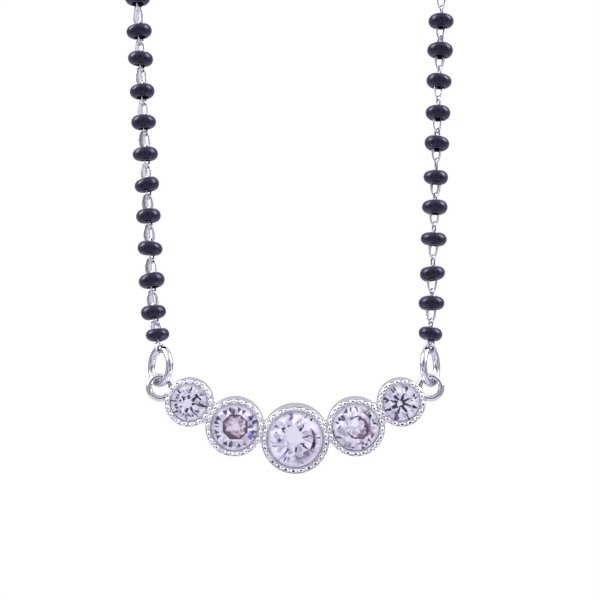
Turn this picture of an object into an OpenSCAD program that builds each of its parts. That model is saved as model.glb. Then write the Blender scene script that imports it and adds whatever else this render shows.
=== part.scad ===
// A hanging bead necklace with a pendant of five graduated round stones.
// The origin is under the clasp, where the necklace hangs. +Z is up and -Y is the stones' side.

/* [Necklace] */
// Length of the whole loop, through the pendant, both strands and the clasp
loop_len = 450; // [400:10:520]
// Outward lean of the left strand, in degrees
lean_left = 3.5; // [3:0.5:5]
// Outward lean of the right strand, in degrees
lean_right = 2.5; // [2:0.5:5]

/* [Pendant] */
// Diameter of the middle stone
center_stone_d = 6; // [5.6:0.1:6.4]
// Diameter of the two stones beside the middle one
inner_stone_d = 5; // [4.6:0.1:5.4]
// Diameter of the two end stones
outer_stone_d = 4; // [3.6:0.1:4.4]
// Thickness of a bezel's wall outside its stone
bezel_wall = 0.36; // [0.34:0.02:0.42]
// How far a bezel's lip reaches over its stone
lip_cover = 0.17; // [0.14:0.01:0.2]
// Forward tilt of the pendant where it hangs, in degrees
pendant_tilt = 9; // [0:0.5:12]

/* [Rings] */
// Wire of the loops soldered to the pendant's ends
eye_wire = 0.6; // [0.5:0.05:0.65]
// Outside diameter of those loops
eye_d = 2.8; // [2.75:0.05:3]
// Wire of the jump rings
ring_wire = 0.7; // [0.55:0.05:0.7]
// Outside diameter of the jump rings
ring_d = 4.2; // [4:0.1:4.6]

/* [Beads and chain] */
// Outside diameter of a black bead
bead_d = 2.5; // [2.3:0.1:2.7]
// Height of a bead along its bore
bead_h = 1.5; // [1.4:0.1:1.7]
// Diameter of the bore through a bead
bead_bore = 1.2; // [1.1:0.05:1.3]
// Distance from bead to bead along the hidden stretch
bead_pitch = 3.2; // [3:0.1:3.6]
// Diameter of the chain that runs through the beads
chain_d = 0.7; // [0.5:0.05:0.75]

/* [Clasp] */
// Length of the clasp's barrel
clasp_len = 9; // [7:0.5:12]
// Diameter of the clasp's barrel
clasp_d = 3; // [2.6:0.1:3.6]

/* [Hidden] */
// One row for each bead in view, from the jump ring up: the way up the strand from the bead
// below, and the bead's own tilt in degrees, with the right side up as positive
GAP = 0;
TILT = 1;
left_beads = [
    [1.40, 6], [2.25, 8], [3.20, 12], [3.25, -5], [3.30, 6], [3.20, 14],
    [3.15, 4], [3.30, 4], [3.20, 6], [3.40, -5], [2.90, 8], [3.50, 3]
];
right_beads = [
    [1.50, -9], [3.05, -1], [3.00, 7], [3.50, -4], [3.25, -2], [3.05, -3],
    [3.50, -8], [3.15, -2], [3.30, -6], [3.20, -3], [3.05, -1]
];
// The left strand bends in towards its ring: the way up the strand, and how far in it lies
left_sway = [[0, 0.55], [1.5, 0.3], [3.8, 0]];

LEFT = -1;
RIGHT = 1;
fit_gap = 0.03;
smooth = 48;

// Stone proportions, as parts of the diameter
table_part = 0.53;
crown_part = 0.14;
girdle_part = 0.02;
pavilion_part = 0.41;
star_part = 0.5;
lower_part = 0.77;
fold = 8;
step = 360 / fold;

// Bezel details
lip_depth = 0.3;
girdle_sink = 0.02;
groove_rim = 0.06;
groove_depth = 0.12;
rim_edge = 0.03;
grain_r = 0.19;
grain_pitch = 0.78;
grain_sink = 0.10;
seat_width = 0.4;
overlap = 0.12;
rise_inner = 11.6;
rise_outer = 28.5;
rise_eye = 24.5;
eye_sink = 0.51;
eye_depth = 1.77;
fillet_r = 0.28;
fillet_off = 0.85;
fillet_front = 0.25;

// Rings and links. The left end loop is turned a little against its ring, to clear it
hook_gap = 0.08;
left_ring_turn = -54;
right_ring_turn = 63;
left_eye_turn = 7;
right_eye_turn = 0;
link_wire = 0.3;
link_w = 1.4;
link_len = 1.5;
link_gap = 0.05;

// Clasp
clasp_ring_wire = 0.6;
clasp_ring_d = 3.4;
clasp_eye_d = 2.6;
clasp_eye_sink = 0.4;
clasp_ring_slope = 14;
clasp_cap = 0.8;

function along(a) = [cos(a), sin(a)];
function sum(list, last, field) = last < 0 ? 0 : list[last][field] + sum(list, last - 1, field);

// Centres of the bezels and end loops in the pendant's own plane, as [x, z] on the right side
function bezel_r(d) = d / 2 + bezel_wall;
inner_at = (bezel_r(center_stone_d) + bezel_r(inner_stone_d) - overlap) * along(rise_inner);
outer_at = inner_at
    + (bezel_r(inner_stone_d) + bezel_r(outer_stone_d) - overlap) * along(rise_outer);
eye_at = outer_at + (bezel_r(outer_stone_d) + eye_d / 2 - eye_sink) * along(rise_eye);
eye_r = (eye_d - eye_wire) / 2;
hinge_in_pendant = [0, eye_depth + eye_r * sin(pendant_tilt),
                    eye_at[1] + eye_r * cos(pendant_tilt)];

// The strands: each runs straight up from its jump ring and round one arc to the clasp
ring_r = (ring_d - ring_wire) / 2;
ring_rise = 2 * ring_r - (eye_wire + ring_wire) / 2 - hook_gap;
foot_left = eye_at[0] + left_sway[0][1];
foot_right = eye_at[0];
span = foot_left + foot_right;
strands_len = loop_len - 2 * eye_at[0] - 2 * ring_rise;
sides_ratio = cos(lean_left) / cos(lean_right);
sides_shift = (sin(lean_left) - sin(lean_right)) / cos(lean_right);
narrowing = sin(lean_left) + sides_ratio * sin(lean_right);
widening = cos(lean_left) + cos(lean_right) - sides_shift * sin(lean_right);
turn_len = PI * (180 + lean_left + lean_right) / 180 + sides_shift;
arc_r = (span * (1 + sides_ratio) + strands_len * narrowing)
    / (widening * (1 + sides_ratio) + turn_len * narrowing);
straight_left = (strands_len - turn_len * arc_r) / (1 + sides_ratio);
straight_right = sides_ratio * straight_left + sides_shift * arc_r;

// The clasp at the top, with its rings sloping down to the arc
clasp_ring_r = (clasp_ring_d - clasp_ring_wire) / 2;
clasp_eye_r = (clasp_eye_d - clasp_ring_wire) / 2;
clasp_eye_x = clasp_len / 2 + clasp_eye_d / 2 - clasp_eye_sink;
clasp_hook_x = clasp_eye_x + clasp_eye_r - clasp_ring_wire - hook_gap;
strand_top_x = clasp_hook_x + 2 * clasp_ring_r * cos(clasp_ring_slope);
clasp_z = clasp_d / 2;
strand_top_z = clasp_z - 2 * clasp_ring_r * sin(clasp_ring_slope);
top_angle = acos(strand_top_x / arc_r);
arc_z = strand_top_z - arc_r * sin(top_angle);
foot_z = arc_z - straight_left * cos(lean_left) - arc_r * sin(lean_left);
pendant_x = foot_left + straight_left * sin(lean_left) - arc_r * cos(lean_left);
hinge_z = foot_z - ring_rise;

function beads(side) = side == LEFT ? left_beads : right_beads;
function lean(side) = side == LEFT ? lean_left : lean_right;
function ring_turn(side) = side == LEFT ? left_ring_turn : right_ring_turn;
function eye_turn(side) = side == LEFT ? left_eye_turn : right_eye_turn;
function straight(side) = side == LEFT ? straight_left : straight_right;
function foot_x(side) = pendant_x + (side == LEFT ? -foot_left : foot_right);
function sway(side, s) = side == LEFT ? lookup(s, left_sway) : 0;
function arc_angle(side, s) = (s - straight(side)) / arc_r * 180 / PI - lean(side);
function strand_len(side) = straight(side) + arc_r * (top_angle + lean(side)) * PI / 180;

// A point of a strand at the way s up from its jump ring, and the strand's lean there
function strand_at(side, s) = s < straight(side)
    ? [foot_x(side) + side * (s * sin(lean(side)) - sway(side, s)), 0,
       foot_z + s * cos(lean(side))]
    : [side * arc_r * cos(arc_angle(side, s)), 0, arc_z + arc_r * sin(arc_angle(side, s))];
function strand_lean(side, s) =
    let (d = strand_at(side, s + 0.1) - strand_at(side, s)) atan2(d[0], d[2]);

function bead_s(side, k) = sum(beads(side), k, GAP);
function last_seen(side) = bead_s(side, len(beads(side)) - 1);
hidden_margin = 2.2;
function hidden_beads(side) =
    floor((strand_len(side) - hidden_margin - last_seen(side)) / bead_pitch);

// The chain starts just above the end link and stops short of the clasp's ring
link_drop = ring_wire / 2 + link_wire + link_gap;
link_top = link_len - link_drop;
chain_start = link_top + 0.08;
function chain_end(side) = strand_len(side) - clasp_ring_wire / 2 - 0.08;
seen_step = 1.6;
plain_step = 9;
arc_step = 1.6;
function stations(from, to, pitch) =
    let (n = ceil((to - from) / pitch)) [for (i = [0:n - 1]) from + (to - from) * i / n];
function chain_stations(side) = concat(
    stations(chain_start, last_seen(side), seen_step),
    stations(last_seen(side), straight(side), plain_step),
    stations(straight(side), chain_end(side), arc_step),
    [chain_end(side)]
);

// Corners of a round brilliant, with the girdle's front edge at z = 0 and the table above it
function ring_of(r, z, n, turn) = [for (i = [0:n - 1]) [r * cos(turn + i * 360 / n),
                                                         r * sin(turn + i * 360 / n), z]];
function crown_mid_r(r) = r * (table_part * cos(step / 2) * (1 - star_part) + star_part);
function crown_mid_z(r) = 2 * r * crown_part * (r - crown_mid_r(r) * cos(step / 2))
    / (r - table_part * r);
function lower_mid_r(r) = r * (1 - lower_part);
function lower_mid_z(r) = 2 * r * pavilion_part * (1 - (1 - lower_part) * cos(step / 2));
function lip_slope(r) = crown_mid_z(r) / (r - crown_mid_r(r));
function seat_slope(r) = lower_mid_z(r) / (r - lower_mid_r(r));

// Depths below the rim's front
function girdle_front(d) = lip_depth + girdle_sink * d;
function girdle_back(d) = girdle_front(d) + girdle_part * d;
function bezel_depth(d) = girdle_back(d) + pavilion_part * d + 0.02;

module brilliant(d) {
    r = d / 2;
    g = girdle_part * d;
    points = concat(
        ring_of(table_part * r, crown_part * d, fold, 0),
        ring_of(crown_mid_r(r), crown_mid_z(r), fold, step / 2),
        ring_of(r, 0, 2 * fold, 0),
        ring_of(r, -g, 2 * fold, 0),
        ring_of(lower_mid_r(r), -g - lower_mid_z(r), fold, step / 2),
        [[0, 0, -g - pavilion_part * d]]
    );
    mid = fold;
    top = 2 * fold;
    low = 4 * fold;
    pav = 6 * fold;
    culet = 7 * fold;
    faces = concat(
        [[for (i = [fold - 1:-1:0]) i]],
        [for (i = [0:fold - 1]) [i, (i + 1) % fold, mid + i]],
        [for (i = [0:fold - 1]) [i, mid + i, top + 2 * i, mid + (i + fold - 1) % fold]],
        [for (i = [0:fold - 1]) [mid + i, top + 2 * i + 1, top + 2 * i]],
        [for (i = [0:fold - 1]) [mid + i, top + (2 * i + 2) % (2 * fold), top + 2 * i + 1]],
        [for (i = [0:2 * fold - 1]) [top + i, top + (i + 1) % (2 * fold),
                                     low + (i + 1) % (2 * fold), low + i]],
        [for (i = [0:fold - 1]) [pav + i, low + 2 * i, low + 2 * i + 1]],
        [for (i = [0:fold - 1]) [pav + i, low + 2 * i + 1, low + (2 * i + 2) % (2 * fold)]],
        [for (i = [0:fold - 1]) [culet, pav + (i + fold - 1) % fold, low + 2 * i, pav + i]]
    );
    polyhedron(points, faces, convexity = 2);
}

// Turns a shape made with its axis along +Z so that +Z points back into the pendant
module facing() {
    rotate([-90, 0, 0]) children();
}

// Places the pendant's own frame, in which y is depth behind the rims, where it hangs
module hang_pendant() {
    translate([pendant_x, 0, hinge_z])
        rotate([pendant_tilt, 0, 0])
            translate(-hinge_in_pendant)
                children();
}

module at(place) {
    translate([place[0], 0, place[1]]) children();
}

function mirrored(place) = [-place[0], place[1]];

module bezel(d) {
    outer = bezel_r(d);
    lip = d / 2 - lip_cover;
    inside = d / 2 + fit_gap;
    bore = d / 2 - seat_width;
    grain_ring = (outer + lip) / 2;
    grains = round(2 * PI * grain_ring / grain_pitch);
    facing() {
        rotate_extrude($fn = smooth)
            polygon([
                [outer, bezel_depth(d)],
                [outer, rim_edge],
                [outer - rim_edge, 0],
                [outer - groove_rim, rim_edge],
                [outer - groove_rim, groove_depth],
                [lip + groove_rim, groove_depth],
                [lip + groove_rim, rim_edge],
                [lip + rim_edge, rim_edge / 2],
                [lip, 2 * rim_edge],
                [lip, girdle_front(d) - lip_cover * lip_slope(d / 2) - fit_gap],
                [inside, girdle_front(d) - fit_gap],
                [inside, girdle_back(d) + fit_gap],
                [bore, girdle_back(d) + seat_width * seat_slope(d / 2) + fit_gap],
                [bore, bezel_depth(d)]
            ]);
        for (i = [0:grains - 1])
            rotate([0, 0, 360 * i / grains])
                translate([grain_ring, 0, grain_sink])
                    sphere(r = grain_r, $fn = smooth);
    }
}

// Solder in the two notches between a pair of bezels that stand at a and b
module solder(a, a_d, b, b_d) {
    way = (b - a) / norm(b - a);
    meet = a + way * (bezel_r(a_d) - overlap / 2);
    across = [-way[1], way[0]];
    len = 0.8 * bezel_depth(min(a_d, b_d)) - fillet_front;
    for (s = [-1, 1])
        at(meet + s * fillet_off * across)
            facing()
                translate([0, 0, fillet_front])
                    cylinder(r = fillet_r, h = len, $fn = smooth);
}

module wire_ring(radius, wire) {
    rotate_extrude($fn = smooth)
        translate([radius, 0])
            circle(d = wire, $fn = smooth);
}

module pendant_frame() {
    color([0.86, 0.86, 0.89])
        hang_pendant() {
            at([0, 0]) bezel(center_stone_d);
            for (s = [LEFT, RIGHT]) scale([s, 1, 1]) {
                at(inner_at) bezel(inner_stone_d);
                at(outer_at) bezel(outer_stone_d);
                solder([0, 0], center_stone_d, inner_at, inner_stone_d);
                solder(inner_at, inner_stone_d, outer_at, outer_stone_d);
            }
            for (side = [LEFT, RIGHT])
                translate([side * eye_at[0], eye_depth, eye_at[1]])
                    rotate([-pendant_tilt, 0, 0])
                        rotate([90, 0, eye_turn(side)])
                            wire_ring(eye_r, eye_wire);
        }
}

module stone(d, place, turn) {
    hang_pendant()
        at(place)
            translate([0, girdle_front(d), 0])
                rotate([90, 0, 0])
                    rotate([0, 0, turn])
                        brilliant(d);
}

module stone_center() {
    color([0.93, 0.93, 0.97]) stone(center_stone_d, [0, 0], 10);
}

module stone_inner(side) {
    color([0.86, 0.78, 0.82])
        stone(inner_stone_d, side == LEFT ? mirrored(inner_at) : inner_at, side * 2 - 22.5);
}

module stone_outer(side) {
    color([0.90, 0.90, 0.96])
        stone(outer_stone_d, side == LEFT ? mirrored(outer_at) : outer_at, side * 4);
}

module jump_ring(side) {
    color([0.84, 0.84, 0.87])
        translate([pendant_x + side * eye_at[0], 0, foot_z - ring_r])
            rotate([0, 0, ring_turn(side)])
                rotate([90, 0, 0])
                    wire_ring(ring_r, ring_wire);
}

// A wire link with straight sides, its length along +Z and its lower end at z = 0
module oval_link(width, length, wire) {
    bend = (width - wire) / 2;
    side_len = length - width;
    translate([0, 0, width / 2]) {
        for (s = [0, 1])
            translate([0, 0, s * side_len])
                rotate([90, 180 * (1 - s), 0])
                    rotate_extrude(angle = 180, $fn = smooth)
                        translate([bend, 0])
                            circle(d = wire, $fn = smooth);
        for (s = [-1, 1])
            translate([s * bend, 0, 0])
                cylinder(d = wire, h = side_len, $fn = smooth);
    }
}

module end_link(side) {
    first = strand_at(side, bead_s(side, 0)) - [pendant_x + side * eye_at[0], 0, foot_z];
    color([0.84, 0.84, 0.87])
        translate([pendant_x + side * eye_at[0], 0, foot_z])
            rotate([0, atan2(first[0], first[2]), 0])
                rotate([0, 0, ring_turn(side) + 90])
                    translate([0, 0, -link_drop])
                        oval_link(link_w, link_len, link_wire);
}

module chain(side) {
    list = chain_stations(side);
    sides = 8;
    count = len(list);
    points = [
        for (s = list)
            let (here = strand_at(side, s), a = strand_lean(side, s))
                for (k = [0:sides - 1])
                    here + chain_d / 2 * [cos(a) * cos(k * 360 / sides),
                                          sin(k * 360 / sides),
                                          -sin(a) * cos(k * 360 / sides)]
    ];
    walls = [
        for (i = [0:count - 2])
            for (k = [0:sides - 1])
                let (n = (k + 1) % sides)
                    [i * sides + k, (i + 1) * sides + k, (i + 1) * sides + n, i * sides + n]
    ];
    ends = [
        [for (k = [0:sides - 1]) k],
        [for (k = [sides - 1:-1:0]) (count - 1) * sides + k]
    ];
    color([0.84, 0.84, 0.87]) polyhedron(points, concat(walls, ends), convexity = 6);
}

// A pressed glass bead: a flat ring with a round side and a straight bore
module bead_solid() {
    corner = 0.4 * bead_h;
    outer = bead_d / 2;
    rotate_extrude($fn = smooth)
        difference() {
            union() {
                translate([0, -bead_h / 2]) square([outer - corner, bead_h]);
                translate([0, corner - bead_h / 2]) square([outer, bead_h - 2 * corner]);
                for (s = [-1, 1])
                    translate([outer - corner, s * (bead_h / 2 - corner)])
                        circle(r = corner, $fn = smooth);
            }
            translate([-1, -bead_h]) square([1 + bead_bore / 2, 2 * bead_h]);
        }
}

module bead_on(side, s, tilt) {
    translate(strand_at(side, s)) rotate([0, -tilt, 0]) bead_solid();
}

module seen_bead(side, k) {
    color([0.10, 0.09, 0.14]) bead_on(side, bead_s(side, k), beads(side)[k][TILT]);
}

module bead_string(side) {
    color([0.10, 0.09, 0.14])
        for (k = [1:hidden_beads(side)]) {
            s = last_seen(side) + k * bead_pitch;
            bead_on(side, s, -strand_lean(side, s));
        }
}

module clasp() {
    color([0.84, 0.84, 0.87])
        translate([0, 0, clasp_z]) {
            rotate([0, 90, 0])
                rotate_extrude($fn = smooth)
                    polygon([
                        [0, -clasp_len / 2],
                        [clasp_d / 2 - clasp_cap, -clasp_len / 2],
                        [clasp_d / 2, clasp_cap - clasp_len / 2],
                        [clasp_d / 2, clasp_len / 2 - clasp_cap],
                        [clasp_d / 2 - clasp_cap, clasp_len / 2],
                        [0, clasp_len / 2]
                    ]);
            for (s = [LEFT, RIGHT])
                translate([s * clasp_eye_x, 0, 0])
                    rotate([90, 0, 0])
                        wire_ring(clasp_eye_r, clasp_ring_wire);
        }
}

module clasp_ring(side) {
    color([0.84, 0.84, 0.87])
        translate([side * clasp_hook_x, 0, clasp_z])
            rotate([0, side * clasp_ring_slope, 0])
                translate([side * clasp_ring_r, 0, 0])
                    wire_ring(clasp_ring_r, clasp_ring_wire);
}

function side_name(side) = side == LEFT ? "left" : "right";
function bead_name(side, k) = str("bead_", side_name(side), "_", k < 9 ? "0" : "", k + 1);
function bead_numbers(side) = [0:len(beads(side)) - 1];

pendant_frame();
stone_center();
stone_inner(LEFT);  // stone_inner_left
stone_inner(RIGHT);  // stone_inner_right
stone_outer(LEFT);  // stone_outer_left
stone_outer(RIGHT);  // stone_outer_right
jump_ring(LEFT);  // jump_ring_left
jump_ring(RIGHT);  // jump_ring_right
end_link(LEFT);  // end_link_left
end_link(RIGHT);  // end_link_right
chain(LEFT);  // chain_left
chain(RIGHT);  // chain_right
bead_string(LEFT);  // bead_string_left
bead_string(RIGHT);  // bead_string_right
clasp();
clasp_ring(LEFT);  // clasp_ring_left
clasp_ring(RIGHT);  // clasp_ring_right
for (side = [LEFT, RIGHT])
    for (k = bead_numbers(side))
        seen_bead(side, k);
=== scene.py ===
"""Looks of a hanging bead necklace with a curved pendant of five round stones."""
import math
import random

import bmesh
import bpy
from mathutils import Matrix, Vector


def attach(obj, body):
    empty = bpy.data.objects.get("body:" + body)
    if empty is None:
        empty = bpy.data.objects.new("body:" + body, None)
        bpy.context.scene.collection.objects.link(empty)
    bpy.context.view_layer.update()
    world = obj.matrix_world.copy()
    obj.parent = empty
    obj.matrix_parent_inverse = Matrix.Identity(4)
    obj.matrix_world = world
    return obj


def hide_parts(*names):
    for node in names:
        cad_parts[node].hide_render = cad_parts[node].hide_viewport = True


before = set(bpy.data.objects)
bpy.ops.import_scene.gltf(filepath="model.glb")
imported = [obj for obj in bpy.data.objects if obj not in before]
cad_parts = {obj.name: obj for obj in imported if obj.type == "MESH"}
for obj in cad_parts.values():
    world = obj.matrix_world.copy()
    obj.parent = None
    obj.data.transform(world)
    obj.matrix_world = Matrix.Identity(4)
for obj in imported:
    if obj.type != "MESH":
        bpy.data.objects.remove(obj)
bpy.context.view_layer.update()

MM = 0.001
LEFT, RIGHT = -1, 1
NAMES = {LEFT: "left", RIGHT: "right"}

# The sizes below, in mm and degrees, are those of the part's source.
LOOP_LEN = 450.0
LEAN = {LEFT: 3.5, RIGHT: 2.5}
CENTER_D, INNER_D, OUTER_D = 6.0, 5.0, 4.0
BEZEL_WALL = 0.36
PENDANT_TILT = 9.0
EYE_WIRE, EYE_D = 0.6, 2.8
RING_WIRE, RING_D = 0.7, 4.2
BEAD_D, BEAD_H, BEAD_BORE, BEAD_PITCH = 2.5, 1.5, 1.2, 3.2
CLASP_LEN, CLASP_D = 9.0, 3.0
OVERLAP = 0.12
RISE_INNER, RISE_OUTER, RISE_EYE = 11.6, 28.5, 24.5
EYE_SINK, EYE_DEPTH = 0.51, 1.77
FIT_GAP = 0.03
GIRDLE_PART, PAVILION_PART, CROWN_PART, TABLE_PART = 0.02, 0.41, 0.14, 0.53
STAR_PART, LOWER_PART = 0.5, 0.77
LIP_DEPTH, GIRDLE_SINK = 0.3, 0.02
SEAT_WIDTH = 0.4
GRAIN_PITCH = 0.78
HOOK_GAP = 0.08
RING_TURN = {LEFT: -54.0, RIGHT: 63.0}
EYE_TURN = {LEFT: 7.0, RIGHT: 0.0}
LINK_WIRE, LINK_W, LINK_LEN, LINK_GAP = 0.3, 1.4, 1.5, 0.05
CLASP_WIRE, CLASP_RING_D, CLASP_EYE_D, CLASP_EYE_SINK = 0.6, 3.4, 2.6, 0.4
CLASP_SLOPE, CLASP_CAP = 14.0, 0.8
HIDDEN_MARGIN = 2.2
# The rim of a bezel here, a little finer than the source's
LIP_COVER = {CENTER_D: 0.23, INNER_D: 0.16, OUTER_D: 0.15}
RIM_WIDTH, GROOVE_DEPTH, GRAIN_SINK = 0.075, 0.15, 0.06
# Half of a grain's width, length and height
GRAIN_HALF = (0.20, 0.37, 0.17)
# How far the solder spots lie off the line between two bezels, and their part of the depth
SOLDER_OFF, SOLDER_PART = 0.85, 0.8
# The gap below each bead in view and the bead's tilt, from the jump ring upwards
BEADS = {
    LEFT: [(1.40, 6), (2.25, 8), (3.20, 12), (3.25, -5), (3.30, 6), (3.20, 14),
           (3.15, 4), (3.30, 4), (3.20, 6), (3.40, -5), (2.90, 8), (3.50, 3)],
    RIGHT: [(1.50, -9), (3.05, -1), (3.00, 7), (3.50, -4), (3.25, -2), (3.05, -3),
            (3.50, -8), (3.15, -2), (3.30, -6), (3.20, -3), (3.05, -1)],
}
# How far the left strand's foot bends inwards, at some ways up from the jump ring
SWAY = [(0, 0.55), (1.5, 0.3), (3.8, 0)]


def sin(a):
    return math.sin(math.radians(a))


def cos(a):
    return math.cos(math.radians(a))


def bezel_r(d):
    return d / 2 + BEZEL_WALL


def step_out(start, way, rise):
    """The point that lies a way out from start, at a rise in degrees."""
    return (start[0] + way * cos(rise), start[1] + way * sin(rise))


inner_at = step_out((0, 0), bezel_r(CENTER_D) + bezel_r(INNER_D) - OVERLAP, RISE_INNER)
outer_at = step_out(inner_at, bezel_r(INNER_D) + bezel_r(OUTER_D) - OVERLAP, RISE_OUTER)
eye_at = step_out(outer_at, bezel_r(OUTER_D) + EYE_D / 2 - EYE_SINK, RISE_EYE)
eye_r = (EYE_D - EYE_WIRE) / 2
hinge_at = Vector((0, EYE_DEPTH + eye_r * sin(PENDANT_TILT), eye_at[1] + eye_r * cos(PENDANT_TILT)))

ring_r = (RING_D - RING_WIRE) / 2
ring_rise = 2 * ring_r - (EYE_WIRE + RING_WIRE) / 2 - HOOK_GAP
foot_out = {LEFT: eye_at[0] + SWAY[0][1], RIGHT: eye_at[0]}
span = foot_out[LEFT] + foot_out[RIGHT]
strands_len = LOOP_LEN - 2 * eye_at[0] - 2 * ring_rise
sides_ratio = cos(LEAN[LEFT]) / cos(LEAN[RIGHT])
sides_shift = (sin(LEAN[LEFT]) - sin(LEAN[RIGHT])) / cos(LEAN[RIGHT])
narrowing = sin(LEAN[LEFT]) + sides_ratio * sin(LEAN[RIGHT])
widening = cos(LEAN[LEFT]) + cos(LEAN[RIGHT]) - sides_shift * sin(LEAN[RIGHT])
turn_len = math.pi * (180 + LEAN[LEFT] + LEAN[RIGHT]) / 180 + sides_shift
arc_r = ((span * (1 + sides_ratio) + strands_len * narrowing)
         / (widening * (1 + sides_ratio) + turn_len * narrowing))
straight = {LEFT: (strands_len - turn_len * arc_r) / (1 + sides_ratio)}
straight[RIGHT] = sides_ratio * straight[LEFT] + sides_shift * arc_r

clasp_ring_r = (CLASP_RING_D - CLASP_WIRE) / 2
clasp_eye_r = (CLASP_EYE_D - CLASP_WIRE) / 2
clasp_eye_x = CLASP_LEN / 2 + CLASP_EYE_D / 2 - CLASP_EYE_SINK
clasp_hook_x = clasp_eye_x + clasp_eye_r - CLASP_WIRE - HOOK_GAP
strand_top_x = clasp_hook_x + 2 * clasp_ring_r * cos(CLASP_SLOPE)
clasp_z = CLASP_D / 2
strand_top_z = clasp_z - 2 * clasp_ring_r * sin(CLASP_SLOPE)
top_angle = math.degrees(math.acos(strand_top_x / arc_r))
arc_z = strand_top_z - arc_r * sin(top_angle)
foot_z = arc_z - straight[LEFT] * cos(LEAN[LEFT]) - arc_r * sin(LEAN[LEFT])
pendant_x = foot_out[LEFT] + straight[LEFT] * sin(LEAN[LEFT]) - arc_r * cos(LEAN[LEFT])
hinge_z = foot_z - ring_rise
link_drop = RING_WIRE / 2 + LINK_WIRE + LINK_GAP
link_top = LINK_LEN - link_drop


def sway(side, s):
    if side == RIGHT:
        return 0.0
    for (a, x), (b, y) in zip(SWAY, SWAY[1:]):
        if s < b:
            return x + (y - x) * max(0.0, s - a) / (b - a)
    return 0.0


def strand_at(side, s):
    """The point of a strand at the way s up from its jump ring."""
    lean = LEAN[side]
    if s < straight[side]:
        x = pendant_x + side * (foot_out[side] + s * sin(lean) - sway(side, s))
        return Vector((x, 0, foot_z + s * cos(lean)))
    a = math.degrees((s - straight[side]) / arc_r) - lean
    return Vector((side * arc_r * cos(a), 0, arc_z + arc_r * sin(a)))


def strand_lean(side, s):
    """The angle between a strand and the upright, positive towards +X."""
    d = strand_at(side, s + 0.1) - strand_at(side, s)
    return math.degrees(math.atan2(d.x, d.z))


def strand_len(side):
    return straight[side] + arc_r * math.radians(top_angle + LEAN[side])


def turn(axis, degrees):
    return Matrix.Rotation(math.radians(degrees), 4, axis)


def shift(x, y, z):
    return Matrix.Translation((x, y, z))


def at(place):
    return shift(place[0], 0, place[1])


def mirrored(side, place):
    return (side * place[0], place[1])


# How the pendant hangs, from its own upright frame, and how a turned shape faces to the front
hang = at((pendant_x, hinge_z)) @ turn("X", PENDANT_TILT) @ Matrix.Translation(-hinge_at)
facing = turn("X", -90)


# Mesh building

def placed(name, data):
    """A new object in the scene."""
    made = bpy.data.objects.new(name, data)
    bpy.context.scene.collection.objects.link(made)
    return made


class Piece:
    """Collects the faces of one object, in mm, each with a material number."""

    def __init__(self):
        self.verts, self.faces, self.looks = [], [], []

    def add(self, shape, matrix, look=0):
        """Adds a shape with one material number, or with a list of one for each face."""
        verts, faces = shape
        first = len(self.verts)
        self.verts.extend(tuple(matrix @ Vector(v)) for v in verts)
        self.faces.extend(tuple(first + i for i in f) for f in faces)
        self.looks.extend(look if isinstance(look, list) else [look] * len(faces))

    def build(self, name, replaced, materials, body="necklace", sharp=35):
        """Makes the object. Edges that bend by more than sharp degrees are not shaded smooth."""
        mesh = bpy.data.meshes.new(name)
        mesh.from_pydata([tuple(c * MM for c in v) for v in self.verts], [], self.faces)
        mesh.polygons.foreach_set("material_index", self.looks)
        mesh.polygons.foreach_set("use_smooth", [True] * len(self.faces))
        work = bmesh.new()
        work.from_mesh(mesh)
        bmesh.ops.recalc_face_normals(work, faces=work.faces)
        work.to_mesh(mesh)
        work.free()
        mesh.set_sharp_from_angle(angle=math.radians(sharp))
        for material in materials:
            mesh.materials.append(material)
        made = placed(name, mesh)
        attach(made, body)
        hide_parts(replaced)


def grid_faces(rows, cols, close_rows=True):
    """The faces of a grid of points, row by row, whose columns close in a ring."""
    faces = []
    for i in range(rows if close_rows else rows - 1):
        for j in range(cols):
            a, b = i * cols, (i + 1) % rows * cols
            k = (j + 1) % cols
            faces.append((a + j, b + j, b + k, a + k))
    return faces


def turned(profile, count):
    """A closed profile of (radius, z) points turned about the z axis."""
    verts = []
    for i in range(count):
        a = 2 * math.pi * i / count
        verts.extend((r * math.cos(a), r * math.sin(a), z) for r, z in profile)
    return verts, grid_faces(count, len(profile))


def rounded(corners, steps=4):
    """A closed profile from (r, z, cut) corners, each rounded over about the length of its cut."""
    out = []
    for i, (r, z, cut) in enumerate(corners):
        here = Vector((r, z))
        if not cut:
            out.append((r, z))
            continue
        back = Vector(corners[i - 1][:2]) - here
        on = Vector(corners[(i + 1) % len(corners)][:2]) - here
        a = here + back.normalized() * min(cut, back.length * 0.49)
        b = here + on.normalized() * min(cut, on.length * 0.49)
        for k in range(steps + 1):
            t = k / steps
            p = a * (1 - t) ** 2 + here * 2 * t * (1 - t) + b * t * t
            out.append((p.x, p.y))
    return out


def oval(width, length, count, power=2.0):
    """A closed oval about the origin. A power above 2 makes it fuller towards the corners."""
    out = []
    for i in range(count):
        a = 2 * math.pi * i / count
        c, s = math.cos(a), math.sin(a)
        out.append((math.copysign(abs(c) ** (2 / power), c) * width / 2,
                    math.copysign(abs(s) ** (2 / power), s) * length / 2))
    return out


def wire(path, section, closed=True):
    """A wire along a path in the xz plane. The section's points are (in the plane, along y)."""
    verts = []
    n = len(path)
    for i, (x, z) in enumerate(path):
        if closed:
            before, after = path[i - 1], path[(i + 1) % n]
        else:
            before, after = path[max(i - 1, 0)], path[min(i + 1, n - 1)]
        t = Vector((after[0] - before[0], after[1] - before[1])).normalized()
        verts.extend((x + a * t.y, b, z - a * t.x) for a, b in section)
    m = len(section)
    faces = grid_faces(n, m, close_rows=closed)
    if not closed:
        faces.append(tuple(range(m)))
        faces.append(tuple((n - 1) * m + j for j in range(m)))
    return verts, faces


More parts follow.
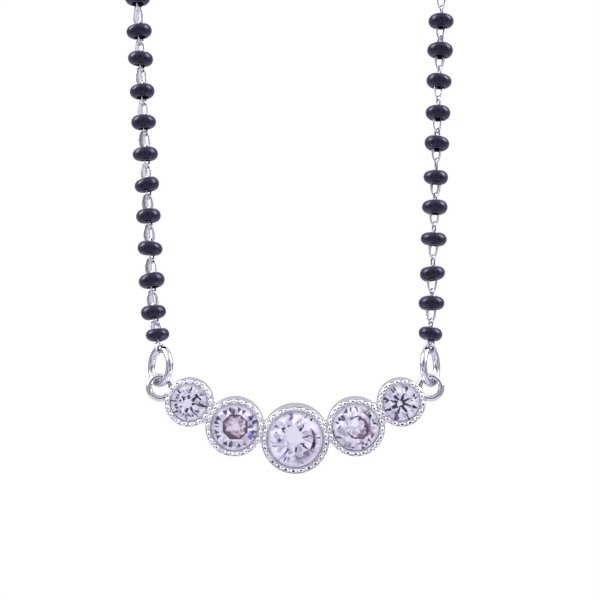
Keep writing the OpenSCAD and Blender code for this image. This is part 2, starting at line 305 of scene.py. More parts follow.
def ball(rx, ry, rz, rings, count):
    """An oval ball about the origin, with its poles on the z axis."""
    verts = [(0, 0, rz)]
    for i in range(1, rings):
        a = math.pi * i / rings
        for j in range(count):
            b = 2 * math.pi * j / count
            verts.append((rx * math.sin(a) * math.cos(b), ry * math.sin(a) * math.sin(b),
                          rz * math.cos(a)))
    verts.append((0, 0, -rz))
    last = len(verts) - 1
    faces = [(0, 1 + j, 1 + (j + 1) % count) for j in range(count)]
    for i in range(rings - 2):
        a, b = 1 + i * count, 1 + (i + 1) * count
        faces.extend((a + j, b + j, b + (j + 1) % count, a + (j + 1) % count)
                     for j in range(count))
    a = 1 + (rings - 2) * count
    faces.extend((last, a + (j + 1) % count, a + j) for j in range(count))
    return verts, faces


# Materials

def feed(made, inputs):
    """Gives each of some inputs of a node a plain value or the output of another node."""
    for key, value in inputs.items():
        if isinstance(value, bpy.types.NodeSocket):
            value.id_data.links.new(value, made.inputs[key])
        else:
            made.inputs[key].default_value = value


def node(tree, kind, inputs=None, **settings):
    """Adds a node with its inputs and settings."""
    made = tree.nodes.new(kind)
    for key, value in settings.items():
        setattr(made, key, value)
    feed(made, inputs or {})
    return made


def ramp(value, stops):
    """A colour that runs through (place, colour) stops."""
    made = node(value.id_data, "ShaderNodeValToRGB", {"Fac": value})
    elements = made.color_ramp.elements
    while len(elements) < len(stops):
        elements.new(0.5)
    for element, (place, colour) in zip(elements, stops):
        element.position = place
        element.color = (*colour, 1)
    return made.outputs["Color"]


def calc(operation, a, b=0.0):
    """A sum with nodes, where a is the output of a node."""
    return node(a.id_data, "ShaderNodeMath", {0: a, 1: b}, operation=operation).outputs[0]


def plus(a, b):
    return calc("ADD", a, b)


def minus(a, b):
    return calc("SUBTRACT", a, b)


def product(*values):
    out = values[0]
    for value in values[1:]:
        out = calc("MULTIPLY", out, value)
    return out


def smooth_step(value, low, high):
    """0 up to low and 1 from high, with a smooth change between them. Low may be the larger."""
    return node(value.id_data, "ShaderNodeMapRange", {"Value": value, "From Min": low, "From Max": high},
                interpolation_type="SMOOTHSTEP").outputs["Result"]


def mixed(part, low, high):
    """The low colour where part is 0, and the high one where it is 1."""
    return node(part.id_data, "ShaderNodeMix", {0: part, 6: low, 7: high}, data_type="RGBA").outputs[2]


def paint(colour, mask, tone, strength=1.0):
    """The colour with a tone painted over it where the mask is 1."""
    return mixed(product(mask, strength), colour, (*tone, 1))


def material(name):
    """A new material with its node tree and its shader."""
    made = bpy.data.materials.new(name)
    made.use_nodes = True
    return made, made.node_tree, made.node_tree.nodes["Principled BSDF"]


def noise(place, scale, detail=2.0, distortion=0.0):
    """Cloudy values from 0 to 1."""
    return node(place.id_data, "ShaderNodeTexNoise", {
        "Vector": place, "Scale": scale, "Detail": detail, "Distortion": distortion}).outputs["Fac"]


def bump(height, strength, distance):
    return node(height.id_data, "ShaderNodeBump", {
        "Height": height, "Strength": strength, "Distance": distance}).outputs["Normal"]


def silver(name, tone, rough, scratch, crevice_shade_reach=0.00014):
    """Silver with fine scratches, a slight tone drift and painted shade in its crevices, whose reach is
    in metres."""
    made, tree, shader = material(name)
    place = node(tree, "ShaderNodeTexCoord").outputs["Object"]
    grain = noise(place, 9000.0, 4.0, 0.6)
    # Painted shade: the colour darkens where nearby surfaces hide the studio, in crevices and where parts
    # cross
    occlusion_shade = node(tree, "ShaderNodeAmbientOcclusion", {"Distance": crevice_shade_reach}, samples=6)
    shade = ramp(occlusion_shade.outputs["AO"], [(0.12, (0.26, 0.24, 0.28)), (0.5, (0.80, 0.79, 0.84)),
                                        (0.8, (1, 1, 1))])
    drift = ramp(noise(place, 900.0, 3.0), [(0.3, [c * 0.93 for c in tone]), (0.7, tone)])
    shaded = node(tree, "ShaderNodeMix", {0: 1.0, 6: drift, 7: shade}, data_type="RGBA",
                  blend_type="MULTIPLY")
    matt = ramp(grain, [(0.25, [rough * 0.6] * 3), (0.75, [rough * 1.5] * 3)])
    feed(shader, {"Base Color": shaded.outputs[2], "Metallic": 1.0, "Roughness": matt,
                  "Normal": bump(grain, scratch, 0.00001)})
    return made


def black_glass():
    """Near-black violet glass, with a slightly uneven pressed surface."""
    made, tree, shader = material("black_glass")
    place = node(tree, "ShaderNodeTexCoord").outputs["Object"]
    cloud = noise(place, 700.0)
    tone = ramp(cloud, [(0.3, (0.004, 0.003, 0.010)), (0.7, (0.008, 0.006, 0.018))])
    matt = ramp(noise(place, 6000.0, 3.0), [(0.3, [0.20] * 3), (0.7, [0.30] * 3)])
    feed(shader, {"Base Color": tone, "Roughness": matt, "Normal": bump(cloud, 0.25, 0.00006),
                  "IOR": 1.40, "Specular Tint": (0.82, 0.76, 1.0, 1), "Sheen Weight": 0.18,
                  "Sheen Roughness": 0.5, "Sheen Tint": (0.75, 0.70, 1.0, 1)})
    return made


class Face:
    """Coordinates on a stone's face, in parts of its open radius, with nodes for the painted reflections
    on it.
    """

    def __init__(self, tree, centre, right, up, radius, seed, breaks):
        self.tree = tree
        place = node(tree, "ShaderNodeTexCoord").outputs["Object"]
        self.place = place
        self.u = self.distance(place, centre, right / radius)
        self.v = self.distance(place, centre, up / radius)
        flat = node(tree, "ShaderNodeCombineXYZ", {0: self.u, 1: self.v, 2: seed}).outputs[0]
        pick = self.cell(flat, 5.0)
        self.broken_u = self.nudged(self.u, pick[0], breaks)
        self.broken_v = self.nudged(self.v, pick[1], breaks)

    def cell(self, place, scale):
        """Three chance values for each cell of an uneven mosaic."""
        mosaic = node(self.tree, "ShaderNodeTexVoronoi", {"Vector": place, "Scale": scale})
        return node(self.tree, "ShaderNodeSeparateColor", {0: mosaic.outputs["Color"]}).outputs

    def specks(self, angle, radius, around, outward, seed):
        """Three chance values for each of some uneven patches round a point, where around and
        outward say how small the patches are in each direction."""
        across, out = product(angle, around), product(radius, outward)
        spot = node(self.tree, "ShaderNodeCombineXYZ", {0: across, 1: out, 2: seed})
        return self.cell(spot.outputs[0], 1.0)

    def nudged(self, value, pick, reach):
        return plus(value, product(minus(pick, 0.5), reach))

    def distance(self, place, centre, way):
        """How far a place lies from the centre, along a way."""
        dot = node(self.tree, "ShaderNodeVectorMath", {0: place, 1: tuple(way)},
                   operation="DOT_PRODUCT").outputs["Value"]
        return minus(dot, centre.dot(way))

    def polar(self, x=0.0, y=0.0, broken=True):
        """The angle and radius about a point of the face, as broken up by the facets or whole."""
        a = minus(self.broken_u if broken else self.u, x)
        b = minus(self.broken_v if broken else self.v, y)
        flat = node(self.tree, "ShaderNodeCombineXYZ", {0: a, 1: b}).outputs[0]
        r = node(self.tree, "ShaderNodeVectorMath", {0: flat}, operation="LENGTH")
        return calc("ARCTAN2", b, a), r.outputs["Value"]

    def fold(self, angle, radius, first, count=8):
        """Coordinates along and across the nearest of some equal rays, and the ray's number. The
        angle of the first ray is in degrees."""
        step = 2 * math.pi / count
        turns = calc("DIVIDE", minus(angle, math.radians(first)), step)
        whole = calc("ROUND", turns)
        off = product(minus(turns, whole), step)
        ray = calc("FLOORED_MODULO", whole, count)
        return product(radius, calc("COSINE", off)), product(radius, calc("SINE", off)), ray

    def chance(self, ray, seed):
        """A chance value from 0 to 1 for each ray."""
        return node(self.tree, "ShaderNodeTexWhiteNoise", {"W": plus(ray, seed)},
                    noise_dimensions="1D").outputs["Value"]

    def streak(self, along, across, start, end, start_half, end_half, soft=0.02):
        """1 on a streak along a ray, whose half width changes from its start to its end."""
        half = node(self.tree, "ShaderNodeMapRange", {
            "Value": along, "From Min": start, "From Max": end, "To Min": start_half, "To Max": end_half})
        inside = minus(half.outputs["Result"], calc("ABSOLUTE", across))
        return product(smooth_step(inside, -soft / 2, soft / 2),
                       smooth_step(along, start - soft, start + soft),
                       smooth_step(along, end + soft, end - soft))

    def mark(self, angle, start, end, half, x=0.0, y=0.0):
        """1 on a single streak at an angle about a point of the face. It narrows to half of its
        first width."""
        a, b = minus(self.broken_u, x), minus(self.broken_v, y)
        c, s = cos(angle), sin(angle)
        along = plus(product(a, c), product(b, s))
        across = minus(product(b, c), product(a, s))
        return self.streak(along, across, start, end, half, half * 0.5)


# Tones of the painted reflections and shade on the stones' faces
BRIGHT = (0.74, 0.73, 0.82)
GLOW = (0.66, 0.65, 0.72)
WHITE = (0.60, 0.58, 0.68)
PALE = (0.37, 0.35, 0.44)
NAVY = (0.006, 0.004, 0.018)
SMOKE = (0.075, 0.062, 0.110)
GREY = (0.33, 0.31, 0.40)
INDIGO = (0.05, 0.038, 0.15)
PLUM = (0.055, 0.030, 0.052)
VIOLET = (0.13, 0.11, 0.42)
ROSE = (0.47, 0.36, 0.44)
MAUVE = (0.20, 0.13, 0.19)
LILAC = (0.11, 0.07, 0.11)
TEAL = (0.42, 0.62, 0.66)
# Where a tone on the whole face starts and is full, the tone and its strength: a painted reflection that
# pales the outer facets, and a painted shadow of the bezel's lip round the edge
PALE_REFLECTION_BAND = (0.74, 0.88, (0.90, 0.88, 0.97), 0.5)
LIP_SHADOW_LINE = (0.965, 0.995, (0.30, 0.28, 0.34), 0.7)


def stone_shell(name, d, place, seed, breaks):
    """Starts a stone's material, whose colour is painted reflection and shade, with the coordinates of
    its face. The facets shift what shows through them by up to half of breaks, in parts of the open
    radius."""
    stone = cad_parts[name]
    made, tree, shader = material(name)
    feed(shader, {"Roughness": 0.04, "IOR": 1.6, "Coat Weight": 0.3})
    local = stone.matrix_world.inverted()
    centre = local @ (hang @ Vector((place[0], 0, place[1])) * MM)
    right = (local.to_3x3() @ Vector((1, 0, 0))).normalized()
    up = (local.to_3x3() @ (hang.to_3x3() @ Vector((0, 0, 1)))).normalized()
    face = Face(tree, centre, right, up, (d / 2 - LIP_COVER[d]) * MM, seed, breaks)
    for slot in stone.material_slots:
        slot.material = made
    return shader, face


def rim_tone(face, colour, start, full, tone, strength):
    """Paints a tone over the outer part of a face."""
    _, radius = face.polar(broken=False)
    return paint(colour, smooth_step(radius, start, full), tone, strength)


def facet_tone(face, angle, radius, first, seed):
    """A pale ground of painted reflection that changes a little from facet to facet, with some grey
    edges.
    """
    _, _, ray = face.fold(angle, radius, first, 16)
    ring = product(calc("ROUND", product(radius, 3.2)), 31.0)
    pick = face.chance(plus(ray, ring), seed)
    tone = ramp(pick, [(0.05, PALE), (0.35, WHITE), (0.6, WHITE), (0.9, BRIGHT)])
    along, across, ray = face.fold(angle, radius, first + 11.25, 16)
    edge = face.streak(along, across, 0.46, 0.98, 0.012, 0.006, 0.012)
    edge = product(edge, face.chance(ray, seed + 3.0))
    return paint(tone, edge, (0.30, 0.27, 0.36), 0.8)


def specked(colour, zone, picks, kinds):
    """Paints one kind of speck for each chance value, in a zone: from which value on there is
    none, from which it is full, its tone and its strength."""
    for pick, (none, full, tone, strength) in zip(picks, kinds):
        colour = paint(colour, product(zone, smooth_step(pick, none, full)), tone, strength)
    return colour


def splinters(face, colour, angle, radius, start, end, seed, dark):
    """Small uneven facets of painted reflection, long towards the middle. Some are grey, some bright, and
    up to the share dark of them are nearly black."""
    zone = product(smooth_step(radius, start, start + 0.04), smooth_step(radius, end, end - 0.04))
    return specked(colour, zone, face.specks(angle, radius, 5.0, 4.5, seed), [
        (0.30, 0.26, (0.36, 0.33, 0.44), 0.75), (0.72, 0.76, BRIGHT, 0.8),
        (dark, dark - 0.03, (0.055, 0.045, 0.090), 0.9)])


def stroked_stone(name, d, place, first, middle, open_r, seed, breaks, strokes):
    """A stone painted with reflections: a bright middle and single strokes about it, where open_r is the
    least radius of the middle."""
    shader, face = stone_shell(name, d, place, seed, breaks)
    angle, radius = face.polar(*middle)
    colour = facet_tone(face, angle, radius, first, seed)
    colour = splinters(face, colour, angle, radius, open_r + 0.08, 1.3, seed, 0.0)
    _, _, ray = face.fold(angle, radius, first, 16)
    edge = plus(product(face.chance(ray, 12.0), 0.10), open_r)
    colour = paint(colour, smooth_step(minus(radius, edge), 0.02, -0.02), GLOW)
    colour = rim_tone(face, colour, *PALE_REFLECTION_BAND)
    for x, y, end_x, end_y, half, tone in strokes:
        way = Vector((end_x - x, end_y - y)) / 100
        at_angle = math.degrees(math.atan2(way.y, way.x))
        stroke = face.mark(at_angle, 0.0, way.length, half / 100, x / 100, y / 100)
        colour = paint(colour, stroke, tone)
    colour = rim_tone(face, colour, *LIP_SHADOW_LINE)
    feed(shader, {"Base Color": colour})


def table_tone(face, colour, first, middle, seed):
    """Paints an inner stone's table with reflections: a cloudy middle with a few specks in a ragged dark
    outline.
    """
    angle, radius = face.polar(*middle, broken=False)
    along, _, _ = face.fold(angle, radius, first + 22.5)
    table = TABLE_PART * cos(22.5) * INNER_D / 2 / (INNER_D / 2 - LIP_COVER[INNER_D])
    edge = calc("DIVIDE", along, table)
    rough = minus(noise(face.place, 2600.0, 1.0), 0.5)
    inner = ramp(plus(radius, product(rough, 0.35)), [
        (0.08, (0.64, 0.61, 0.68)), (0.20, (0.58, 0.52, 0.59)), (0.36, (0.40, 0.31, 0.38)),
        (0.48, (0.24, 0.16, 0.22))])
    picks = face.specks(angle, radius, 3.5, 9.0, seed)
    inner = specked(inner, smooth_step(radius, 0.12, 0.20), picks, [
        (0.30, 0.26, MAUVE, 0.75), (0.66, 0.70, WHITE, 0.7)])
    colour = mixed(smooth_step(edge, 1.01, 0.97), colour, inner)
    low = product(calc("SINE", plus(angle, math.radians(20))), 0.05)
    start = plus(edge, minus(product(rough, 0.8), low))
    outline = product(smooth_step(start, 0.74, 0.84), smooth_step(edge, 1.02, 0.98))
    return paint(colour, outline, PLUM, 0.93)


def ringed_stone(name, place, first, middle, seed, marks):
    """A stone painted with reflections: a dark outline inside its table, pairs of dark wedges round it
    and a few single marks."""
    shader, face = stone_shell(name, INNER_D, place, seed, 0.05)
    angle, radius = face.polar()
    colour = facet_tone(face, angle, radius, first, seed)
    colour = splinters(face, colour, angle, radius, 0.50, 0.96, seed, 0.08)
    colour = rim_tone(face, colour, *PALE_REFLECTION_BAND)
    along, across, ray = face.fold(angle, radius, first)
    tilted = minus(calc("ABSOLUTE", across), product(along, 0.14))
    wedge = face.streak(along, tilted, 0.62, 0.84, 0.004, 0.095)
    wedge = product(wedge, smooth_step(face.chance(ray, seed), -0.2, 0.35))
    colour = paint(colour, wedge, (0.032, 0.025, 0.055), 0.97)
    colour = paint(colour, face.streak(along, across, 0.58, 0.70, 0.03, 0.004), ROSE, 0.5)
    for at_angle, start, end, half, tone in marks:
        mark = face.mark(at_angle, start / 100, end / 100, half / 100)
        colour = paint(colour, mark, tone, 0.9)
    colour = table_tone(face, colour, first, middle, seed)
    colour = rim_tone(face, colour, *LIP_SHADOW_LINE)
    feed(shader, {"Base Color": colour})


SILVER = silver("silver", (0.97, 0.965, 0.99), 0.10, 0.04)
# The rings' painted shade reaches further, darkening where they cross the loops and links
RING_SILVER = silver("ring_silver", (0.70, 0.69, 0.74), 0.07, 0.008, 0.0006)
END_SILVER = silver("end_silver", (0.84, 0.83, 0.88), 0.30, 0.02)
GRAIN_SILVER = silver("grain_silver", (0.97, 0.965, 0.99), 0.38, 0.03)
# Near-black silver for the dots of painted shade in the grains
SHADE_DOT_SILVER = silver("shade_dot_silver", (0.05, 0.04, 0.05), 0.45, 0.05)
CHAIN_SILVER = silver("chain_silver", (0.83, 0.81, 0.89), 0.28, 0.03)
# A darker copy of the chain silver, for painted shade on links beside and between the beads
SHADED_LINK_SILVER = silver("shaded_link_silver", (0.26, 0.23, 0.28), 0.22, 0.05)
GLASS = black_glass()


# Pendant

def girdle_front(d):
    """How deep the front of a stone's girdle lies behind its bezel's rim."""
    return LIP_DEPTH + GIRDLE_SINK * d


def girdle_back(d):
    return girdle_front(d) + GIRDLE_PART * d


def bezel_depth(d):
    return girdle_back(d) + PAVILION_PART * d + 0.02


def crown_slope(d):
    """How steeply a stone's front rises from its girdle."""
    r = d / 2
    mid = r * (TABLE_PART * cos(22.5) * (1 - STAR_PART) + STAR_PART)
    rise = 2 * r * CROWN_PART * (r - mid * cos(22.5)) / (r - TABLE_PART * r)
    return rise / (r - mid)


def seat_slope(d):
    """How steeply a stone's back falls away from its girdle."""
    r = d / 2
    mid = r * (1 - LOWER_PART)
    return 2 * r * PAVILION_PART * (1 - (1 - LOWER_PART) * cos(22.5)) / (r - mid)


def bezel_profile(d):
    outer, lip, deep = bezel_r(d), d / 2 - LIP_COVER[d], bezel_depth(d)
    inside, bore = d / 2 + FIT_GAP, d / 2 - SEAT_WIDTH
    return rounded([
        (outer, deep, 0.12),
        (outer, 0, 0.045),
        (outer - RIM_WIDTH, 0, 0.03),
        (outer - RIM_WIDTH, GROOVE_DEPTH, 0.04),
        (lip + RIM_WIDTH, GROOVE_DEPTH, 0.04),
        (lip + RIM_WIDTH, 0.01, 0.03),
        (lip, 0.03, 0.05),
        (lip, girdle_front(d) - LIP_COVER[d] * crown_slope(d) - FIT_GAP, 0),
        (inside, girdle_front(d) - FIT_GAP, 0),
        (inside, girdle_back(d) + FIT_GAP, 0),
        (bore, girdle_back(d) + SEAT_WIDTH * seat_slope(d) + FIT_GAP, 0),
        (bore, deep, 0.1),
    ])


def solder_spots(a, a_d, b, b_d):
    """The solder in the two notches between a pair of bezels, and how deep it goes."""
    way = Vector((b[0] - a[0], b[1] - a[1])).normalized()
    meet = Vector(a) + way * (bezel_r(a_d) - OVERLAP / 2)
    across = Vector((-way.y, way.x))
    deep = SOLDER_PART * bezel_depth(min(a_d, b_d))
    return [(meet + across * s * SOLDER_OFF, deep) for s in (-1, 1)]


def pendant():
    piece = Piece()
    chance = random.Random(5)
    # Each bezel's first grain, the size of the near-black dots of painted shade in its grains and the
    # least of it for those at the top
    spots = [(CENTER_D, (0, 0), 7, 1.0, 0.0)]
    for side, shade_dots, least in ((LEFT, 0.6, 0.0), (RIGHT, 0.9, 0.6)):
        spots.append((INNER_D, mirrored(side, inner_at), side * 5, shade_dots, least))
        spots.append((OUTER_D, mirrored(side, outer_at), side * 3, shade_dots, least))
    for d, place, first, shade_dots, least in spots:
        here = hang @ at(place) @ facing
        piece.add(turned(bezel_profile(d), 144), here)
        middle = (bezel_r(d) + d / 2 - LIP_COVER[d]) / 2
        count = round(2 * math.pi * middle / GRAIN_PITCH)
        for i in range(count):
            a = first + 360 * i / count + chance.uniform(-0.6, 0.6)
            spin = turn("Z", a) @ shift(middle, 0, GRAIN_SINK + chance.uniform(-0.008, 0.008))
            spin = here @ spin @ turn("Z", chance.uniform(-7, 7))
            piece.add(ball(*GRAIN_HALF, 10, 16), spin, 1)
            # A near-black dot of painted shade sits in each grain's middle, and it is larger on the lower
            # side
            low = max(least, 0.5 + 0.5 * sin(a))
            shade_dot = shade_dots * (0.060 + 0.05 * low + chance.uniform(-0.025, 0.02))
            piece.add(ball(shade_dot, shade_dot * 1.25, 0.05, 6, 10), spin @ shift(0, 0, -0.14), 2)
    for side in (LEFT, RIGHT):
        pairs = [((0, 0), CENTER_D, inner_at, INNER_D), (inner_at, INNER_D, outer_at, OUTER_D)]
        for a, a_d, b, b_d in pairs:
            for spot, deep in solder_spots(a, a_d, b, b_d):
                body = rounded([(0.001, 0.25, 0), (0.3, 0.25, 0.2), (0.28, deep, 0.1), (0.001, deep, 0)])
                piece.add(turned(body, 20), hang @ at(mirrored(side, spot)) @ facing)
        eye = shift(side * eye_at[0], EYE_DEPTH, eye_at[1]) @ turn("X", -PENDANT_TILT)
        eye = eye @ turn("Z", EYE_TURN[side])
        loop = wire(oval(2 * eye_r, 2 * eye_r, 64), oval(EYE_WIRE, EYE_WIRE, 20))
        piece.add(loop, hang @ eye, 3)
    looks = [SILVER, GRAIN_SILVER, SHADE_DOT_SILVER, RING_SILVER]
    piece.build("milgrain_frame", "pendant_frame", looks, body="pendant")


# Strands

# The lowest beads are a little smaller than the others
SMALL_BEADS = {(LEFT, 0): 0.91, (RIGHT, 0): 0.93}
# The height and width of a pressed bead, in parts of the plain solid's, and how far out its
# round side starts
BEAD_HIGH, BEAD_WIDE, BEAD_SHOULDER = 0.92, 1.035, 0.50


def bead(chance, size):
    """A pressed glass bead, flat at both ends, with a round side and a straight bore."""
    high = BEAD_H / 2 * (BEAD_HIGH + chance.uniform(-0.03, 0.05))
    outer = BEAD_D / 2 * (BEAD_WIDE + chance.uniform(-0.025, 0.025))
    bore = BEAD_BORE / 2
    section = [(bore, -high + 0.16), (bore + 0.02, -high + 0.06)]
    for i in range(13):
        a = -76 + 152 * i / 12
        r = BEAD_SHOULDER + (outer - BEAD_SHOULDER) * abs(cos(a)) ** 0.93
        section.append((r, high * sin(a)))
    section += [(bore + 0.02, high - 0.06), (bore, high - 0.16)]
    verts, faces = turned(section, 48)
    thick, thin = chance.uniform(0, 360), chance.uniform(0, 360)
    out = []
    for x, y, z in verts:
        a = math.degrees(math.atan2(y, x))
        r = math.hypot(x, y)
        part = max(0.0, (r - bore) / (outer - bore))
        grow = 1 - 0.010 * part * (1 + cos(2 * (a - thin)))
        out.append((x * grow * size, y * grow * size, z * size * (1 + 0.045 * cos(a - thick))))
    return out, faces


def bead_places(side):
    """(way up the strand, tilt) of each bead, and how many of them the photograph shows."""
    places, s = [], 0.0
    for gap, tilt in BEADS[side]:
        s += gap
        places.append((s, tilt))
    seen = len(places)
    hidden = math.floor((strand_len(side) - HIDDEN_MARGIN - s) / BEAD_PITCH)
    for k in range(1, hidden + 1):
        t = s + k * BEAD_PITCH
        places.append((t, -strand_lean(side, t)))
    return places, seen


def strand_matrix(side, s, aside=0.0, twist=0.0):
    p = strand_at(side, s)
    return shift(*p) @ turn("Y", strand_lean(side, s)) @ shift(aside, 0, 0) @ turn("Z", twist)


def beads(side):
    chance = random.Random(11 + side)
    places, seen = bead_places(side)
    string = Piece()
    for k, (s, tilt) in enumerate(places):
        matrix = shift(*strand_at(side, s)) @ turn("Y", -tilt) @ turn("X", chance.uniform(-5, 5))
        shape = bead(chance, SMALL_BEADS.get((side, k), 1.0))
        if k < seen:
            piece = Piece()
            piece.add(shape, matrix)
            name = "bead_%s_%02d" % (NAMES[side], k + 1)
            piece.build("glass_" + name, name, [GLASS], sharp=60)
        else:
            string.add(shape, matrix)
    string.build("glass_beads_" + NAMES[side], "bead_string_" + NAMES[side], [GLASS],
                 sharp=60)


# Each strand has one link in every gap and one through every bead. On the left the gap has a flat pale
# link and the bead a thin one that is pale on its outer side and darkened by painted shade on the other.
# On the right the gap has a thin link darkened by painted shade and the bead a flat pale one.
FLAT_W, FLAT_THICK = {LEFT: 1.22, RIGHT: 1.14}, 0.15
FLAT_POWER = {LEFT: 2.2, RIGHT: 1.85}
FLAT_BAND = {LEFT: 0.51, RIGHT: 0.33}
FLAT_END = {LEFT: 0.38, RIGHT: 0.33}
HOLE_ASIDE = {LEFT: 0.21, RIGHT: 0.03}
THIN_ASIDE = {LEFT: 0.12, RIGHT: 0.0}
THIN_W, THIN_WIRE = 0.88, 0.17
JOINT_DROP = {LEFT: 0.87, RIGHT: 1.50}
GAP_LINK_START = 0.38
GAP_TURN = {LEFT: 15.0, RIGHT: 112.0}
BEAD_TURN = {LEFT: 62.0, RIGHT: 14.0}
TURN_SPREAD = {LEFT: 7.0, RIGHT: 14.0}
HOOK_ROOM = 0.07
# The link above the last bead, and the last link, which reaches over the clasp ring's wire
SPARE_START, SPARE_LEN = 0.1, 1.5
CLASP_LINK_W, CLASP_LINK_LEN, CLASP_LINK_BAND, CLASP_LINK_OVER = 1.16, 2.2, 0.2, 0.22


def flat_link(width, length, band, end, power=1.85, aside=0.0):
    """A pressed flat link, where band and end are the widths beside its hole and beyond it, and
    aside is how far the hole lies off its middle."""
    outer = oval(width, length, 32, power)
    inner = oval(width - 2 * band, length - 2 * end, 32, power)
    section = oval(1, FLAT_THICK, 12, 3.0)
    verts = []
    for (x, z), (hole_x, hole_z) in zip(outer, inner):
        hole_x += aside
        verts.extend(((x + hole_x) / 2 + (x - hole_x) * a, b, (z + hole_z) / 2 + (z - hole_z) * a)
                     for a, b in section)
    return verts, grid_faces(len(outer), len(section))


def thin_link(length):
    """A round wire link."""
    path = oval(THIN_W - THIN_WIRE, length - THIN_WIRE, 32, 2.7)
    return wire(path, oval(THIN_WIRE, THIN_WIRE, 10))


def links(side):
    """The chain of a strand, from the link on its jump ring to the one on the clasp's ring."""
    chance = random.Random(23 + side)
    places = [s for s, _ in bead_places(side)[0]]
    piece = Piece()
    hooked = FLAT_END[side] + THIN_WIRE + HOOK_ROOM

    def add_link(low, high, flat, twist, pale=False):
        change = chance.uniform(-0.07, 0.04)
        aside = HOLE_ASIDE[side] + chance.uniform(-0.05, 0.03)
        twist += chance.uniform(-1, 1) * TURN_SPREAD[side]
        here = strand_matrix(side, (low + high) / 2, 0 if flat else THIN_ASIDE[side], twist)
        if flat:
            band, end = FLAT_BAND[side] + change, FLAT_END[side] + change
            piece.add(flat_link(FLAT_W[side], high - low, band, end, FLAT_POWER[side], aside), here)
        else:
            verts, faces = thin_link(high - low)
            # Faces that get the second, darker silver carry painted shade
            dark = [0 if pale or side == LEFT and verts[f[0]][0] < 0.05 else 1 for f in faces]
            piece.add((verts, faces), here, dark)

    gaps = []
    for low, high in zip(places, places[1:]):
        slip = chance.uniform(-0.06, 0.06)
        gaps.append((low + GAP_LINK_START + slip, high - JOINT_DROP[side] + slip))
    spare = places[-1] + SPARE_START
    gaps.append((spare, spare + SPARE_LEN))
    hook = strand_len(side) + CLASP_WIRE / 2 + CLASP_LINK_OVER
    for low, high in gaps:
        add_link(low, high, side == LEFT, GAP_TURN[side])
    piece.add(flat_link(CLASP_LINK_W, CLASP_LINK_LEN, CLASP_LINK_BAND, CLASP_LINK_BAND),
              strand_matrix(side, hook - CLASP_LINK_LEN / 2))
    lows = [link_top - LINK_WIRE - THIN_WIRE - 0.02] + [high - hooked for _, high in gaps]
    highs = [low + hooked for low, _ in gaps] + [hook - CLASP_LINK_LEN + hooked]
    for k, (low, high) in enumerate(zip(lows, highs)):
        add_link(low, high, side == RIGHT, BEAD_TURN[side], pale=k == 0)
    piece.build("chain_links_" + NAMES[side], "chain_" + NAMES[side], [CHAIN_SILVER, SHADED_LINK_SILVER])


def ring_link(side):
    """The oval link that hooks a strand on its jump ring."""
    foot = Vector((pendant_x + side * eye_at[0], 0, foot_z))
    first = strand_at(side, BEADS[side][0][0]) - foot
    lean = math.degrees(math.atan2(first.x, first.z))
    path = oval(LINK_W - LINK_WIRE, LINK_LEN - LINK_WIRE, 40, 2.2)
    matrix = (shift(*foot) @ turn("Y", lean) @ turn("Z", RING_TURN[side] + 90)
              @ shift(0, 0, LINK_LEN / 2 - link_drop))
    piece = Piece()
    piece.add(wire(path, oval(LINK_WIRE, LINK_WIRE, 14)), matrix)
    piece.build("ring_link_" + NAMES[side], "end_link_" + NAMES[side], [END_SILVER])


def cut_ring(radius, thick, seam):
    """A round wire ring with a closed cut at the angle seam."""
    gap = math.degrees(0.02 / radius)
    count = 80
    path = []
    for i in range(count + 1):
        a = seam + gap + (360 - 2 * gap) * i / count
        path.append((radius * cos(a), radius * sin(a)))
    return wire(path, oval(thick, thick, 24), closed=False)


def jump_ring(side):
    piece = Piece()
    matrix = shift(pendant_x + side * eye_at[0], 0, foot_z - ring_r) @ turn("Z", RING_TURN[side])
    piece.add(cut_ring(ring_r, RING_WIRE, 60 if side == LEFT else 125), matrix)
    piece.build("cut_ring_" + NAMES[side], "jump_ring_" + NAMES[side], [RING_SILVER])


# Clasp

CLASP_GROOVES = (-2.4, -1.9, 1.9, 2.4)


def clasp():
    """The barrel clasp with an eye at each end, and the rings that join it to the strands."""
    piece = Piece()
    half, r, cap = CLASP_LEN / 2, CLASP_D / 2, CLASP_CAP
    profile = [(0.001, -half, 0), (r - cap, -half, 0.15), (r, cap - half, 0.4)]
    for x in CLASP_GROOVES:
        profile += [(r, x - 0.12, 0.05), (r - 0.1, x, 0.06), (r, x + 0.12, 0.05)]
    profile += [(r, half - cap, 0.4), (r - cap, half, 0.15), (0.001, half, 0)]
    piece.add(turned(rounded(profile, 3), 64), shift(0, 0, clasp_z) @ turn("Y", 90))
    for side in (LEFT, RIGHT):
        loop = wire(oval(2 * clasp_eye_r, 2 * clasp_eye_r, 48), oval(CLASP_WIRE, CLASP_WIRE, 16))
        piece.add(loop, shift(side * clasp_eye_x, 0, clasp_z))
    piece.build("barrel_clasp", "clasp", [SILVER])
    for side in (LEFT, RIGHT):
        piece = Piece()
        matrix = (shift(side * clasp_hook_x, 0, clasp_z) @ turn("Y", side * CLASP_SLOPE)
                  @ shift(side * clasp_ring_r, 0, 0) @ turn("X", -90))
        piece.add(cut_ring(clasp_ring_r, CLASP_WIRE, 90), matrix)
        piece.build("clasp_loop_" + NAMES[side], "clasp_ring_" + NAMES[side], [SILVER])


pendant()
for side in (LEFT, RIGHT):
    beads(side)
    links(side)
    ring_link(side)
    jump_ring(side)
clasp()


# Stones

# Painted reflections on the inner left stone: the angle of each, where it starts and ends along that and
# its half width at the start, in hundredths of the open radius, and its tone
MARKS = [
    (31, 72, 94, 9, INDIGO), (15, 78, 98, 9, INDIGO), (-13, 74, 94, 6.5, INDIGO),
    (-26, 68, 97, 12, VIOLET), (168, 86, 99, 14, TEAL), (-64, 62, 80, 10, (0.64, 0.53, 0.62)),
]
